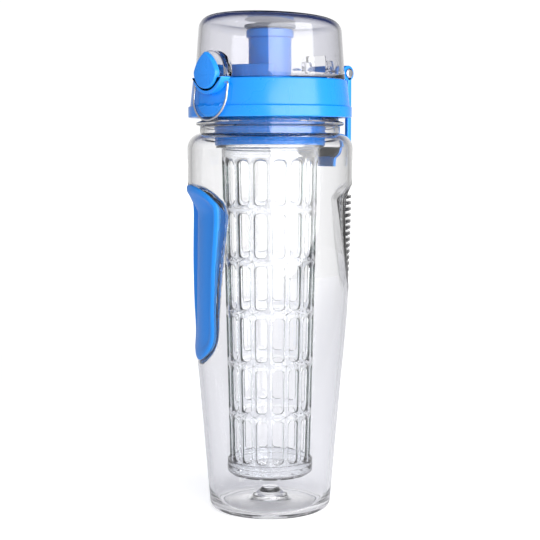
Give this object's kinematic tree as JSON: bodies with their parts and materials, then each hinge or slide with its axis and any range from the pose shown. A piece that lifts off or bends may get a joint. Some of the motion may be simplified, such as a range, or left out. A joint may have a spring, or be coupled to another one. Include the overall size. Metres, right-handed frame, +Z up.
{
  "type": "fruit infuser sports bottle",
  "caption": "Clear hand-held water bottle with a screw lid, a latched flip-up cover over a drinking spout, a carry loop and a slotted fruit infuser tube.",
  "frame": {"origin": "centre of the base, on the plane that the bottle stands on", "axes": "+Z up along the bottle; the latch is at -Y and the cover's hinge and the carry loop are at +Y; +X completes the right-handed frame"},
  "size_m": [0.087, 0.0934, 0.261],
  "materials": {
    "clear_body": "clear copolyester, polished",
    "clear_ribs": "clear soft plastic",
    "clear_infuser": "clear plastic, moulded",
    "smoky_cover": "smoke-tinted clear plastic",
    "blue_gloss": "moulded, satin gloss",
    "blue_soft": "soft-touch, satin",
    "silicone": "translucent silicone",
    "steel": "polished stainless wire"
  },
  "bodies": {
    "bottle": {"bottle_body": "clear_body", "palm_grip": "blue_soft", "finger_ribs": "clear_ribs"},
    "gasket": {"neck_gasket": "silicone"},
    "lid": {"lid_shell": "blue_gloss", "inner_collar": "blue_gloss", "spout": "blue_gloss", "vent_valve": "silicone", "hinge_pin": "steel", "hinge_spacers": "clear_ribs", "latch_pin": "steel", "latch_spring": "steel"},
    "cover": {"dome_cover": "smoky_cover", "spout_seal": "silicone"},
    "loop": {"carry_loop": "blue_soft"},
    "button": {"latch_button": "blue_gloss"},
    "bail": {"lock_bail": "steel"},
    "infuser": {"infuser_tube": "clear_infuser", "infuser_seal": "silicone"},
    "infuser_end": {"infuser_cap": "clear_infuser"}
  },
  "joints": [
    {"name": "lid_lift", "type": "slide", "parent": "bottle", "child": "gasket", "axis": [0, 0, 1], "range_m": [0, 0.215]},
    {"name": "lid_turn", "type": "hinge", "parent": "gasket", "child": "lid", "pos_m": [0, 0, 0.2225], "axis": [0, 0, 1], "range_deg": [0, 360]},
    {"name": "cover_hinge", "type": "hinge", "parent": "lid", "child": "cover", "pos_m": [0, 0.04, 0.232], "axis": [-1, 0, 0], "range_deg": [0, 110]},
    {"name": "loop_swing", "type": "hinge", "parent": "lid", "child": "loop", "pos_m": [0, 0.04, 0.232], "axis": [1, 0, 0], "range_deg": [0, 60]},
    {"name": "button_press", "type": "hinge", "parent": "lid", "child": "button", "pos_m": [0, -0.044, 0.226], "axis": [1, 0, 0], "range_deg": [0, 6], "stiffness_Nm_per_rad": 0.4, "springref_deg": -1.15, "deforming": ["latch_spring"]},
    {"name": "bail_swing", "type": "hinge", "parent": "lid", "child": "bail", "pos_m": [0, -0.0415, 0.225], "axis": [-1, 0, 0], "range_deg": [0, 175]},
    {"name": "infuser_turn", "type": "hinge", "parent": "lid", "child": "infuser", "pos_m": [0, 0, 0.2], "axis": [0, 0, 1], "range_deg": [0, 360]},
    {"name": "end_cap_turn", "type": "hinge", "parent": "infuser", "child": "infuser_end", "pos_m": [0, 0, 0.022], "axis": [0, 0, 1], "range_deg": [0, 360]}
  ]
}
